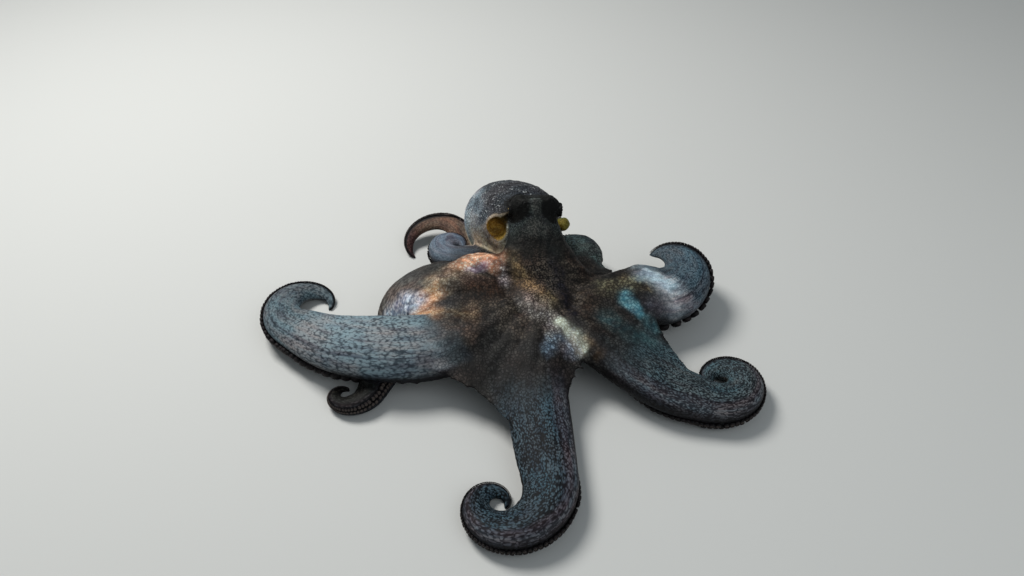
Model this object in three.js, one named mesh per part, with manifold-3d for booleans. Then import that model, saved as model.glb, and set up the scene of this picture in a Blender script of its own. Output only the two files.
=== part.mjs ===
// A common octopus (Octopus vulgaris) crawling over a flat sea bed, life size, as a still model.
// Millimetres, +Z up. The animal faces -Y. Right and left are the animal's own, so its right arms are at -X.
// Every flesh part is a loft: a unit cylinder bent along a route, with its own cross-section at each step.
import * as THREE from 'three';
import { mergeVertices } from 'three/addons/utils/BufferGeometryUtils.js';
import Module from 'manifold-3d';

const wasm = await Module();
wasm.setup();

// ---- driving dimensions ----
const GAP = 0.3; // left between neighbours that meet
const MOUTH = new THREE.Vector3(0, 5, 0); // seen from above, where the eight arms meet
const ARM_WIDTH = 58; // of an arm with its side flanges, near the web
const ARM_TIP = 4;
const ARM_TAPER = 3; // the power of the taper: most of it is in the curled end
const ARM_FLATNESS = [0.39, 0.8]; // thickness over width, at the web and at the tip
const CURL_TIGHTENING = 1.6; // the power with which a curl's radius shrinks along it
const ARM_ROOT = 36; // how far from the mouth an arm begins
const ROOT_SPREAD = 0.72; // an arm's width over its distance from the mouth, where the arms crowd together
const EGG = 0.4; // how much thicker an arm is on its suckers' side than at its flange
const SUCKER_RIDGE = 0.06; // height of the double row of suckers, over the arm's half width
const WEB_THICKNESS = [7, 2.4]; // near the crown and at the free edge
const WEB_SAG = 4; // at the middle of the free edge
const BED_PRESS = 0.8; // how far the resting undersides are pressed flat

// Each arm: its route over the bed as [x, y, height of its underside], from the crown outwards, then the
// curl that ends it: degrees to the left (+) or right (-), the radii it starts and ends with, and the
// height it ends at. The suckers roll out to the outside of the curl. Lean tips the arm on its side.
const ARMS = {
  right1: {
    route: [[-8, -60, 26], [-8, -100, 13], [-3, -150, 2], [3, -201, 0]],
    curl: { turn: -435, from: 45, to: 5, height: 0 }, lean: 5, slender: 1.05,
  },
  right2: {
    route: [[-56, -36, 24], [-105, -60, 15], [-155, -66, 14], [-205, -52, 8], [-253, -20, 2]],
    curl: { turn: -275, from: 53, to: 10, height: 0 }, lean: 32, slender: 1.2,
  },
  right3: {
    route: [[-66, 22, 38], [-106, 22, 36], [-138, 4, 24], [-149, -40, 0], [-165, -92, 0]],
    curl: { turn: -300, from: 26, to: 6, height: 0 }, lean: 4, slender: 0.96, taper: 2.6,
  },
  right4: {
    route: [[-38, 60, 28], [-66, 70, 24], [-92, 76, 22]],
    curl: { turn: -285, from: 23, to: 8, height: 30 }, lean: 0, slender: 0.86,
  },
  left4: {
    route: [[8, 62, 12], [-22, 78, 3], [-56, 92, 0], [-78, 114, 4], [-92, 139, 16]],
    curl: { turn: 212, from: 42, to: 18, height: 0 }, lean: 0, slender: 0.52, taper: 5,
  },
  left3: {
    route: [[40, 52, 30], [50, 74, 20]],
    curl: { turn: 400, from: 28, to: 5, height: 0 }, lean: 0, slender: 0.72,
  },
  left2: {
    route: [[66, 6, 26], [102, 7, 18], [124, 13, 9]],
    curl: { turn: 180, from: 53, to: 25, height: 30 }, lean: 28, slender: 1.2, taper: 4.4,
  },
  left1: {
    route: [[44, -42, 27], [80, -74, 18], [118, -100, 6], [154, -112, 0]],
    curl: { turn: 440, from: 36, to: 5, height: 0 }, lean: 8, slender: 1.05,
  },
};
const ORDER = Object.keys(ARMS); // round the crown, neighbours side by side
const FIRST_BEARING = -112.5; // of right1's root, seen from the mouth. The others follow at 45 degrees
const PARTS = [['base', 0, 0.34], ['middle', 0.34, 0.64], ['end', 0.64, 1]]; // as shares of an arm's length

// The web from each arm to the next: how far along its two arms it is held, how deep its edge is cut,
// how far it arches up instead of sagging, and the cut's skew: below 1 it is deepest nearer the first arm.
const WEBS = {
  right1: { reach: [172, 150], notch: 0.27 },
  right2: { reach: [150, 135], notch: 0.25 },
  right3: { reach: [110, 80], notch: 0.3, rise: 15 },
  right4: { reach: [70, 60], notch: 0.3 },
  left4: { reach: [60, 70], notch: 0.3 },
  left3: { reach: [85, 110], notch: 0.3 },
  left2: { reach: [130, 168], notch: 0.36, skew: 0.45 },
  left1: { reach: [120, 150], notch: 0.57, skew: 0.5 },
};

// The head leans back from the crown. Each step: the middle [x, y, z] and the section's [width, depth].
const HEAD = [
  [[0, 14, 40], [96, 44]], [[-1, 29, 50], [104, 48]], [[-2, 42, 62], [86, 46]],
  [[-4, 54, 76], [60, 42]], [[-6, 66, 91], [50, 38]], [[-6, 76, 118], [42, 24]],
];
const CROWN = [[24, 20], [28, 36], [38, 42], [48, 39], [57, 28], [62, 10]]; // its dome, as [height, radius]
const EYE_MOUND = { at: [-6, 74, 104], apart: 27, radii: [14, 14, 15.5] };
const EYE = { at: [-6, 73, 104], apart: 38.2, radius: 9 }; // it stands 0.6 mm proud of its mound
const MANTLE = {
  from: [-5, 75, 80], to: [-69, 171, 24], sag: 1.23,
  // radius at shares of the length from the neck to the tip
  girth: [[0, 33], [0.1, 41], [0.25, 44.5], [0.45, 45.5], [0.65, 42], [0.83, 30], [0.95, 15], [1, 5]],
};
// The mantle gapes on both sides of the head: a hollow, and a lip round it that is set back.
const OPENINGS = [
  { at: [-46, 67, 84], radii: [10, 11, 12], lip: 2.5, back: 8 },
  { at: [25, 80, 77], radii: [6, 6, 6], lip: 1.5, back: 4 },
];
const FUNNEL = { from: [4, 72, 48], to: [12, 98, 38], radii: [11, 6], bore: 3.6 };

// ---- small helpers ----
const UP = new THREE.Vector3(0, 0, 1);
const mix = THREE.MathUtils.lerp;
const radians = THREE.MathUtils.degToRad;
const ease = (t) => THREE.MathUtils.smoothstep(t, 0, 1);
const vector = (p) => new THREE.Vector3(...p);

function solidOf(geometry) {
  for (const name of ['normal', 'uv']) geometry.deleteAttribute(name);
  const merged = mergeVertices(geometry, 1e-4);
  return new wasm.Manifold(new wasm.Mesh({
    numProp: 3,
    vertProperties: new Float32Array(merged.attributes.position.array),
    triVerts: new Uint32Array(merged.index.array),
  }));
}

// A unit cylinder bent into a closed loft. place(t, angle, radius) gives the point for each vertex.
function loft(sides, steps, place) {
  const geometry = new THREE.CylinderGeometry(1, 1, 1, sides, steps);
  const position = geometry.attributes.position;
  for (let i = 0; i < position.count; i++) {
    const [x, y, z] = [position.getX(i), position.getY(i), position.getZ(i)];
    const point = place(y + 0.5, Math.atan2(z, x), Math.min(Math.hypot(x, z), 1));
    position.setXYZ(i, point.x, point.y, point.z);
  }
  return solidOf(geometry);
}

function ellipsoid(at, radii, extra = 0, detail = [12, 7]) {
  const geometry = new THREE.SphereGeometry(1, ...detail);
  geometry.scale(...radii.map((r) => r + extra)).translate(...at);
  return solidOf(geometry);
}

// ---- arms ----
class Arm {
  constructor(name) {
    Object.assign(this, { slender: 1, taper: ARM_TAPER }, ARMS[name], { name });
    this.rollTo = Math.sign(this.curl.turn);
    const bearing = radians(FIRST_BEARING - 45 * ORDER.indexOf(name));
    this.root = [MOUTH.x + ARM_ROOT * Math.cos(bearing), MOUTH.y + ARM_ROOT * Math.sin(bearing), 30];
    this.points = this.trace();
    this.lengths = [0];
    for (let i = 1; i < this.points.length; i++) {
      this.lengths.push(this.lengths[i - 1] + this.points[i].distanceTo(this.points[i - 1]));
    }
    this.length = this.lengths.at(-1);
  }

  // The route's spline, then a spiral whose radius shrinks as it turns.
  trace() {
    const route = [this.root, ...this.route].map(vector);
    const points = new THREE.CatmullRomCurve3(route, false, 'centripetal').getSpacedPoints(80);
    const start = points.at(-1).z;
    const end = points.at(-1).clone();
    const along = end.clone().sub(points.at(-3));
    let heading = Math.atan2(along.y, along.x);
    const { turn, from, to, height } = this.curl;
    const steps = Math.ceil(Math.abs(turn) / 5);
    const step = radians(turn) / steps;
    for (let i = 0; i < steps; i++) {
      const radius = to + (from - to) * (1 - (i + 0.5) / steps) ** CURL_TIGHTENING;
      heading += step / 2;
      end.x += Math.cos(heading) * radius * Math.abs(step);
      end.y += Math.sin(heading) * radius * Math.abs(step);
      end.z = mix(start, height, ease((i + 1) / steps));
      heading += step / 2;
      points.push(end.clone());
    }
    return points;
  }

  // The route's point and heading at a distance along the arm.
  at(distance) {
    const d = THREE.MathUtils.clamp(distance, 0, this.length);
    const i = Math.max(this.lengths.findIndex((l) => l >= d), 1);
    const share = (d - this.lengths[i - 1]) / (this.lengths[i] - this.lengths[i - 1]);
    const point = this.points[i - 1].clone().lerp(this.points[i], share);
    const before = this.points[Math.max(i - 2, 0)];
    const after = this.points[Math.min(i + 1, this.points.length - 1)];
    return { point, heading: after.clone().sub(before).normalize() };
  }

  width(distance) {
    return ARM_TIP + (ARM_WIDTH * this.slender - ARM_TIP) * (1 - (distance / this.length) ** this.taper);
  }

  // The cross-section at an angle from its suckers' side, as [outwards, up], before it leans.
  outline(distance, angle, extra) {
    const u = distance / this.length;
    const { point } = this.at(distance);
    const room = ROOT_SPREAD * Math.hypot(point.x - MOUTH.x, point.y - MOUTH.y);
    const half = Math.min(this.width(distance), room) / 2;
    const thick = (this.width(distance) / 2) * mix(...ARM_FLATNESS, u);
    // the suckers face down near the web, and roll out to the side of the curl
    const suckers = mix(radians(-88), radians(-14), ease((u - 0.15) / 0.5));
    const off = Math.atan2(Math.sin(angle - suckers), Math.cos(angle - suckers));
    const ridge = 1 + SUCKER_RIDGE * Math.exp(-((off / 0.5) ** 2));
    return [(half * ridge + extra) * Math.cos(angle),
      (thick * ridge * (1 + EGG * Math.cos(angle)) + extra) * Math.sin(angle)];
  }

  // A point of the arm's surface: the section leans, and its lowest point is at the route's height.
  surface(distance, angle, radius, extra) {
    const { point, heading } = this.at(distance);
    const side = heading.clone().cross(UP).normalize();
    const up = side.clone().cross(heading);
    const lean = radians(this.lean) * Math.sin(Math.PI * Math.min(distance / this.length / 0.8, 1));
    const turned = ([out, rise]) => [out * Math.cos(lean) + rise * Math.sin(lean),
      rise * Math.cos(lean) - out * Math.sin(lean)];
    let lowest = 0;
    for (let a = 0; a < 24; a++) {
      lowest = Math.min(lowest, turned(this.outline(distance, (a * Math.PI) / 12, 0))[1]);
    }
    const own = this.rollTo > 0 ? angle : Math.PI - angle;
    const [out, rise] = turned(this.outline(distance, own, extra));
    return point.clone()
      .addScaledVector(UP, -lowest - BED_PRESS)
      .addScaledVector(side, out * radius * this.rollTo)
      .addScaledVector(up, rise * radius);
  }

  solid(from, to, steps, extra = 0) {
    return loft(10, steps, (t, angle, radius) => this.surface(mix(from, to, t), angle, radius, extra));
  }

  // The middle of the arm at a distance along it, a little under its top.
  middle(distance) {
    return this.surface(distance, Math.PI / 2, 0.55, 0);
  }
}
const arms = ORDER.map((name) => new Arm(name));

// ---- head, mantle, funnel ----
function head(extra = 0) {
  const middles = new THREE.CatmullRomCurve3(HEAD.map(([at]) => vector(at)));
  const sizes = new THREE.CatmullRomCurve3(HEAD.map(([, size]) => vector([...size, 0])));
  const column = loft(14, 8, (t, angle, radius) => {
    const size = sizes.getPoint(t);
    const along = middles.getTangent(t);
    const across = new THREE.Vector3(1, 0, 0);
    const front = across.clone().cross(along).normalize();
    return middles.getPoint(t)
      .addScaledVector(across, (size.x / 2 + extra) * radius * Math.cos(angle))
      .addScaledVector(front, (size.y / 2 + extra) * radius * Math.sin(angle))
      .addScaledVector(along, t < 0.5 ? -extra : extra);
  });
  const mounds = [-1, 1].map((s) => {
    const at = vector(EYE_MOUND.at).add(new THREE.Vector3((s * EYE_MOUND.apart) / 2, 0, 0));
    return ellipsoid(at.toArray(), EYE_MOUND.radii, extra);
  });
  return wasm.Manifold.union([column, ...mounds]);
}

function mantle(extra = 0) {
  const from = vector(MANTLE.from);
  const along = vector(MANTLE.to).sub(from);
  const length = along.length();
  along.normalize();
  const side = along.clone().cross(UP).normalize();
  const up = side.clone().cross(along);
  const girth = new THREE.CatmullRomCurve3(MANTLE.girth.map(([t, r]) => vector([t * length, r, 0])));
  const sac = loft(16, 7, (t, angle, radius) => {
    const step = girth.getPointAt(t);
    const r = (step.y + extra) * radius;
    const rise = Math.sin(angle) * (Math.sin(angle) < 0 ? MANTLE.sag : 1);
    return from.clone()
      .addScaledVector(along, step.x + extra * (2 * t - 1))
      .addScaledVector(side, r * Math.cos(angle))
      .addScaledVector(up, r * rise);
  });
  const lips = OPENINGS.map(({ at: [x, y, z], radii, lip, back }) => (
    ellipsoid([x, y + back, z], radii, lip + extra)));
  return wasm.Manifold.union([sac, ...lips]);
}

function tube([startRadius, endRadius], extra = 0, reach = 0) {
  const from = vector(FUNNEL.from);
  const along = vector(FUNNEL.to).sub(from);
  const length = along.length();
  along.normalize();
  const side = along.clone().cross(UP).normalize();
  const up = side.clone().cross(along);
  return loft(12, 3, (t, angle, radius) => {
    const r = (mix(startRadius, endRadius, ease(t * 1.2)) + extra) * radius;
    return from.clone()
      .addScaledVector(along, mix(0, length + reach, t))
      .addScaledVector(side, r * Math.cos(angle))
      .addScaledVector(up, r * Math.sin(angle));
  });
}

// The crown is the arms' common root: a low dome over the mouth.
function crown(extra = 0) {
  const dome = new THREE.CatmullRomCurve3(CROWN.map(([height, radius]) => vector([radius, 0, height])));
  return loft(16, 6, (t, angle, radius) => {
    const step = dome.getPoint(t);
    const r = (step.x + extra) * radius;
    return new THREE.Vector3(MOUTH.x + r * Math.cos(angle), MOUTH.y - r * Math.sin(angle),
      step.z + extra * (2 * t - 1));
  });
}

// The web between two arms: a thin sheet that sags between them, with a hollowed free edge.
function web(first, second, { reach, notch, rise = 0, skew = 1 }) {
  return loft(12, 4, (t, angle, radius) => {
    const v = (1 + Math.cos(angle) * radius) / 2;
    const hollow = Math.sin(Math.PI * v ** skew);
    const out = mix(0.06, 1, t) * (1 - notch * hollow * t);
    const [a, b] = [first.middle(reach[0] * out), second.middle(reach[1] * out)];
    const arch = 4 * v * (1 - v) * (rise - WEB_SAG * t);
    return a.lerp(b, v).addScaledVector(UP,
      Math.sin(angle) * radius * mix(...WEB_THICKNESS, ease(t)) * 0.5 + arch);
  });
}

// ---- assembly ----
const octopus = new THREE.Group();
const aboveBed = wasm.Manifold.cube([1000, 1000, 400], true).translate([0, 0, 200]);
const taken = []; // every part so far, grown by the gap
const LOOKS = {
  flesh: { color: 0x6b5d55, roughness: 0.6, metalness: 0 },
  eye: { color: 0xb8924a, roughness: 0.2, metalness: 0 },
};

// Adds a part: what is above the bed, less every part before it. Crumbs the cuts leave are dropped.
function add(name, solid, grown, look = LOOKS.flesh) {
  const cut = taken.length ? solid.subtract(wasm.Manifold.union(taken)) : solid;
  const pieces = cut.intersect(aboveBed).decompose();
  const own = pieces.reduce((most, piece) => (piece.volume() > most.volume() ? piece : most));
  taken.push(grown);
  const { vertProperties, triVerts } = own.getMesh();
  const geometry = new THREE.BufferGeometry()
    .setAttribute('position', new THREE.BufferAttribute(vertProperties, 3))
    .setIndex(new THREE.BufferAttribute(triVerts, 1));
  geometry.computeVertexNormals();
  const mesh = new THREE.Mesh(geometry, new THREE.MeshStandardMaterial(look));
  mesh.name = name;
  octopus.add(mesh);
}

for (const [side, across] of [['right', -1], ['left', 1]]) {
  const at = [EYE.at[0] + (across * EYE.apart) / 2, EYE.at[1], EYE.at[2]];
  const radii = [EYE.radius, EYE.radius, EYE.radius];
  add(`eye_${side}`, ellipsoid(at, radii), ellipsoid(at, radii, GAP), LOOKS.eye);
}
add('head', head(), head(GAP));
const cups = wasm.Manifold.union(OPENINGS.map(({ at, radii }) => ellipsoid(at, radii)));
add('mantle', mantle().subtract(cups), mantle(GAP));
const bore = tube([FUNNEL.bore, FUNNEL.bore], 0, 5);
add('funnel', tube(FUNNEL.radii).subtract(bore), tube(FUNNEL.radii, GAP));
add('crown', crown(), crown(GAP));
for (const arm of arms) {
  for (const [part, from, to] of PARTS) {
    const ends = [from * arm.length + (from && GAP / 2), to * arm.length - (to < 1 && GAP / 2)];
    const steps = part === 'end' ? 11 : 5;
    add(`arm_${arm.name}_${part}`, arm.solid(...ends, steps), arm.solid(...ends, steps, GAP));
  }
}
arms.forEach((arm, i) => {
  const next = arms[(i + 1) % arms.length];
  const sheet = web(arm, next, WEBS[arm.name]);
  add(`web_${arm.name}_${next.name}`, sheet, sheet);
});

// The model stands on the bed, centred over the origin.
const centre = new THREE.Box3().setFromObject(octopus).getCenter(new THREE.Vector3());
octopus.position.set(-centre.x, -centre.y, 0);
export default octopus;
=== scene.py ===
from math import acos, atan2, ceil, copysign, cos, degrees, exp, hypot, pi, radians, sin, tau
import bmesh
import bpy
from mathutils import Matrix, Vector, kdtree
from mathutils.noise import fractal, noise


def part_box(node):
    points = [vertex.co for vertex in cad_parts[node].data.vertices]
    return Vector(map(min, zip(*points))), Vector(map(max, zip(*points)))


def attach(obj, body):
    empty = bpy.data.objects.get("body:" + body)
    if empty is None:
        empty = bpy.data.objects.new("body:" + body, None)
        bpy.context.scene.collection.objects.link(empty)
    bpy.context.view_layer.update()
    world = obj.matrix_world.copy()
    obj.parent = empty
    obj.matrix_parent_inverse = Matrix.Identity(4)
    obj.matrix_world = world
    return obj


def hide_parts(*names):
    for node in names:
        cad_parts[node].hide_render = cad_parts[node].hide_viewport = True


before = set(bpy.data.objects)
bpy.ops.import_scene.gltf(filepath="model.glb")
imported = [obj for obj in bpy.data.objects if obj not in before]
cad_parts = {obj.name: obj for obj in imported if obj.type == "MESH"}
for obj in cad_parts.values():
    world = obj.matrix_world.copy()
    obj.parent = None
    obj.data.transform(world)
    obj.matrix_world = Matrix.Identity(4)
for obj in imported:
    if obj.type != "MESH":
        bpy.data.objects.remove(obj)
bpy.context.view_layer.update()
scene = bpy.context.scene
print("frame loaded:", len(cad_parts), "nodes")

mm = 0.001
up = Vector((0, 0, 1))
# the layout below is in the solids' own drawing millimetres. The eyes say where that drawing stands
eyesAt = Vector((-6, 73, 104))
eyeSides = {-1: "right", 1: "left"}


def eyeMiddle(side):
    low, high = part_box(f"eye_{eyeSides[side]}")
    return (low + high) / 2


drawingOrigin = (eyeMiddle(1) + eyeMiddle(-1)) / 2 - eyesAt * mm


def spot(x, y, z):
    return Vector((x, y, z)) * mm + drawingOrigin


def mix(a, b, t):
    return a + (b - a) * t


def ramp(t, low=0.0, high=1.0):  # an eased step from 0 at low to 1 at high
    t = min(max((t - low) / (high - low), 0), 1)
    return t * t * (3 - 2 * t)


def bump(x, width):
    return exp(-(x / width) ** 2)


def wrapped(angle):
    return atan2(sin(angle), cos(angle))


def shares(steps):  # from 0 to 1 in equal steps
    return [i / steps for i in range(steps + 1)]


class Curve:  # a smooth centripetal curve through points, measured along its length
    def __init__(self, points, cuts=200):
        points = [Vector(p) for p in points]
        self.knots = [points[0] * 2 - points[1]] + points + [points[-1] * 2 - points[-2]]
        self.dense = [self.raw(t) for t in shares(cuts)]
        self.lengths = [0.0]
        for a, b in zip(self.dense, self.dense[1:]):
            self.lengths.append(self.lengths[-1] + (b - a).length)

    def raw(self, t):
        spans = len(self.knots) - 3
        i = min(int(t * spans), spans - 1)
        w = t * spans - i
        p = self.knots[i:i + 4]
        d = [max((b - a).length, 1e-6) ** 0.5 for a, b in zip(p, p[1:])]
        slopeIn = (p[1] - p[0]) / d[0] - (p[2] - p[0]) / (d[0] + d[1]) + (p[2] - p[1]) / d[1]
        slopeOut = (p[2] - p[1]) / d[1] - (p[3] - p[1]) / (d[1] + d[2]) + (p[3] - p[2]) / d[2]
        slopeIn, slopeOut = slopeIn * d[1], slopeOut * d[1]
        return (p[1] + slopeIn * w + (p[2] * 3 - p[1] * 3 - slopeIn * 2 - slopeOut) * w ** 2
                + (p[1] * 2 - p[2] * 2 + slopeIn + slopeOut) * w ** 3)

    def at(self, share):
        goal = share * self.lengths[-1]
        i = 1
        while i < len(self.lengths) - 1 and self.lengths[i] < goal:
            i += 1
        span = self.lengths[i] - self.lengths[i - 1]
        return self.dense[i - 1].lerp(self.dense[i], (goal - self.lengths[i - 1]) / max(span, 1e-9))


# the arms, the web and the crown are laid out round the mouth
mouth = Vector((0, 5, 0))


def fan(point):  # round the mouth: distance from it, and the way round from the front
    x, y = point.x - mouth.x, point.y - mouth.y
    return hypot(x, y), atan2(x, -y)


armShape = {
    "rootReach": 36, "rootHeight": 30, "rootSpread": 0.72,
    "width": 58, "tip": 4, "taper": 3, "flatness": (0.39, 0.8), "egg": 0.4, "curlTilt": 24, "ridge": 0.06,
    "press": 0.8, "tightening": 1.6, "firstBearing": -112.5,
    "grooveAt": 0.42, "grooveWidth": 0.08, "grooveDepth": 0.9,
    "suckersAt": (-88, -14), "setBack": 0.42, "setBackWidth": 0.62,
}
# a route point is x, y and the height of the underside. The curl at its end turns left (+) or right (-) in
# degrees, from the start radius to the end radius, and its suckers turn up by twist
armRoutes = {
    "right1": dict(
        route=[(-8, -60, 26), (-8, -100, 13), (-3, -150, 2), (3, -201, 0)],
        turn=-435, start=45, end=5, lean=5, slender=1.05, cups=0.8, twist=28, grain=0.8),
    "right2": dict(
        route=[(-56, -36, 24), (-105, -60, 15), (-155, -66, 14), (-205, -52, 8), (-253, -20, 2)],
        turn=-275, start=53, end=10, lean=32, slender=1.2, cups=1.3, twist=30, grain=1.0),
    "right3": dict(
        route=[(-66, 22, 38), (-106, 22, 36), (-138, 4, 24), (-149, -40, 0), (-165, -92, 0)],
        turn=-300, start=26, end=6, lean=4, slender=0.96, taper=2.6, cups=1.35, twist=50, grain=1),
    "right4": dict(
        route=[(-38, 60, 28), (-66, 70, 24), (-92, 76, 22)],
        turn=-285, start=23, end=8, height=30, slender=0.86, cups=0.7, twist=6, grain=0.7),
    "left4": dict(
        route=[(8, 62, 12), (-22, 78, 3), (-56, 92, 0), (-78, 114, 4), (-92, 139, 16)],
        turn=212, start=42, end=18, slender=0.52, taper=5, cups=1.1, twist=52, grain=0.8),
    "left3": dict(
        route=[(40, 52, 30), (50, 74, 20)],
        turn=400, start=28, end=5, slender=0.72, cups=0.7, twist=14, grain=0.9),
    "left2": dict(
        route=[(66, 6, 26), (102, 7, 18), (124, 13, 9)],
        turn=180, start=53, end=25, height=30, lean=28, slender=1.2, taper=4.4,
        cups=1.15, twist=40, grain=0.65),
    "left1": dict(
        route=[(44, -42, 27), (80, -74, 18), (118, -100, 6), (154, -112, 0)],
        turn=440, start=36, end=5, lean=8, slender=1.05, cups=0.74, twist=30, grain=0.72),
}


class Section:  # one cross-section of an arm, in drawing millimetres
    def __init__(self, arm, distance):
        shape = armShape
        self.share = distance / arm.length
        self.point, heading = arm.at(distance)
        self.heading = heading
        self.side = heading.cross(up).normalized()
        self.up = self.side.cross(heading)
        self.roll = arm.roll
        width = arm.width(distance)
        room = shape["rootSpread"] * fan(self.point)[0]
        self.half = min(width, room) / 2
        self.thick = width / 2 * mix(*shape["flatness"], self.share)
        twist = arm.twist + shape["curlTilt"] * self.side.y * self.roll  # a curl leans a little to the front
        under = mix(*shape["suckersAt"], ramp(self.share, 0.15, 0.65))
        self.suckers = radians(under + twist * ramp(self.share, 0.5, 0.75))
        self.suckerSize = arm.suckerSize(distance)
        lean = radians(arm.lean) * sin(pi * min(self.share / 0.8, 1))
        self.leanCos, self.leanSin = cos(lean), sin(lean)
        lowest = min(self.turned(*self.outline(a * pi / 12, shape["ridge"]))[1] for a in range(24))
        self.lift = -lowest - shape["press"]

    def outline(self, angle, ridge=0.0):
        swell = 1 + ridge * bump(wrapped(angle - self.suckers), 0.5)
        return (self.half * swell * cos(angle),
                self.thick * swell * (1 + armShape["egg"] * cos(angle)) * sin(angle))

    def turned(self, out, rise):
        return out * self.leanCos + rise * self.leanSin, rise * self.leanCos - out * self.leanSin

    def place(self, out, rise, inwards=1.0):
        out, rise = self.turned(out, rise)
        return (self.point + up * self.lift + self.side * (out * inwards * self.roll)
                + self.up * (rise * inwards))

    # the skin: set back where the suckers stand, with a groove along the top
    def skin(self, angle):
        out, rise = self.outline(angle)
        off = wrapped(angle - self.suckers)
        back = (1 - armShape["setBack"] * self.suckerSize / max(hypot(out, rise), 1)
                * bump(off, armShape["setBackWidth"]))
        if rise > 0:
            rise -= (armShape["grooveDepth"] * min(self.half / 20, 1)
                     * bump(cos(angle) - armShape["grooveAt"], armShape["grooveWidth"]))
        return self.place(out * back, rise * back)

    def local(self, point):  # a point's place in the section, as (out, rise)
        away = point - self.point - up * self.lift
        out, rise = away.dot(self.side) * self.roll, away.dot(self.up)
        return out * self.leanCos - rise * self.leanSin, rise * self.leanCos + out * self.leanSin


class Arm:
    def __init__(self, name, order):
        self.name, self.order = name, order
        spec = armRoutes[name]
        self.lean, self.slender = spec.get("lean", 0), spec["slender"]
        self.cups, self.twist = spec["cups"], spec["twist"]  # its suckers' size, and how far up they turn
        self.grain = spec["grain"]  # the size of its flecks
        self.taper = spec.get("taper", armShape["taper"])
        self.roll = copysign(1, spec["turn"])
        bearing = radians(armShape["firstBearing"] - 45 * order)
        root = (mouth.x + armShape["rootReach"] * cos(bearing),
                mouth.y + armShape["rootReach"] * sin(bearing), armShape["rootHeight"])
        spline = Curve([root] + spec["route"])
        self.points = [spline.at(t) for t in shares(80)]
        self.curl(spec)
        self.lengths = [0.0]
        for a, b in zip(self.points, self.points[1:]):
            self.lengths.append(self.lengths[-1] + (b - a).length)
        self.length = self.lengths[-1]

    def curl(self, spec):  # a level spiral whose radius shrinks as it turns
        end = self.points[-1].copy()
        along = end - self.points[-3]
        heading = atan2(along.y, along.x)
        steps = ceil(abs(spec["turn"]) / 5)
        step = radians(spec["turn"]) / steps
        floorStart = end.z
        for i in range(steps):
            tightness = (1 - (i + 0.5) / steps) ** armShape["tightening"]
            radius = spec["end"] + (spec["start"] - spec["end"]) * tightness
            heading += step / 2
            end = end + Vector((cos(heading), sin(heading), 0)) * (radius * abs(step))
            end.z = mix(floorStart, spec.get("height", 0), ramp((i + 1) / steps))
            heading += step / 2
            self.points.append(end.copy())

    def at(self, distance):
        distance = min(max(distance, 0), self.length)
        i = 1
        while i < len(self.lengths) - 1 and self.lengths[i] < distance:
            i += 1
        share = (distance - self.lengths[i - 1]) / (self.lengths[i] - self.lengths[i - 1])
        heading = self.points[min(i + 1, len(self.points) - 1)] - self.points[max(i - 2, 0)]
        return self.points[i - 1].lerp(self.points[i], share), heading.normalized()

    def width(self, distance):
        tip = armShape["tip"]
        return tip + (armShape["width"] * self.slender - tip) * (1 - (distance / self.length) ** self.taper)

    def suckerSize(self, distance):
        left = 1 - distance / self.length
        return min(11.5, 18 * left ** 1.2) * self.slender * self.cups + 0.6

    def middle(self, distance):  # just under the top of the arm
        section = Section(self, distance)
        return section.place(*section.outline(pi / 2, armShape["ridge"]), 0.55)


arms = [Arm(name, order) for order, name in enumerate(armRoutes)]
print("arms laid out, mm long:", [round(arm.length) for arm in arms])


# the flesh is made as closed shells, and the skin is drawn over them in voxels. The lids round the eyes add
# about 8000 triangles to the most that thinning leaves
skinDraw = {"armStep": 2.6, "armSides": 36, "voxel": 0.0018, "trianglesMost": 188000}


# an upright tube of unit size, closed at both ends, whose every vertex goes where place(t, angle) says
def addTube(bm, sides, steps, place):
    before = len(bm.verts)
    foot = bm.verts.new((1, 0, 0))
    top = bm.verts.new((1, 0, 1))
    edge = bm.edges.new((foot, top))
    bmesh.ops.subdivide_edges(bm, edges=[edge], cuts=steps - 1)
    bm.verts.ensure_lookup_table()
    own = bm.verts[before:]
    wires = {e for v in own for e in v.link_edges}
    bmesh.ops.spin(bm, geom=own + list(wires), cent=(0, 0, 0), axis=(0, 0, 1),
                   angle=tau, steps=sides, use_merge=True)
    bm.verts.ensure_lookup_table()
    own = bm.verts[before:]
    rims = {e for v in own for e in v.link_edges if e.is_boundary}
    bmesh.ops.holes_fill(bm, edges=list(rims), sides=0)
    for v in own:
        v.co = place(v.co.z, atan2(v.co.y, v.co.x)) * mm + drawingOrigin
    faces = {f for v in own for f in v.link_faces}
    bmesh.ops.recalc_face_normals(bm, faces=list(faces))


def addBall(bm, at, radii):
    ball = bmesh.ops.create_icosphere(bm, subdivisions=4, radius=1)["verts"]
    bmesh.ops.scale(bm, vec=Vector(radii) * mm, verts=ball)
    bmesh.ops.translate(bm, vec=spot(*at), verts=ball)


def addArm(bm, arm):
    steps = round(arm.length / skinDraw["armStep"])
    sections = [Section(arm, arm.length * i / steps) for i in range(steps + 1)]
    addTube(bm, skinDraw["armSides"], steps, lambda t, angle: sections[round(t * steps)].skin(
        angle if arm.roll > 0 else pi - angle))


webThickness, webSag = (8, 3.4), 4
# from each arm to the next: reach along the two arms, depth of the edge's notch and its skew, and arching
webSheets = {
    "right1": dict(reach=(172, 150), notch=0.27),
    "right2": dict(reach=(150, 135), notch=0.25),
    "right3": dict(reach=(110, 80), notch=0.3, rise=15),
    "right4": dict(reach=(70, 60), notch=0.3),
    "left4": dict(reach=(60, 70), notch=0.3),
    "left3": dict(reach=(85, 110), notch=0.3),
    "left2": dict(reach=(130, 168), notch=0.36, skew=0.45),
    "left1": dict(reach=(120, 150), notch=0.57, skew=0.5),
}


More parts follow.
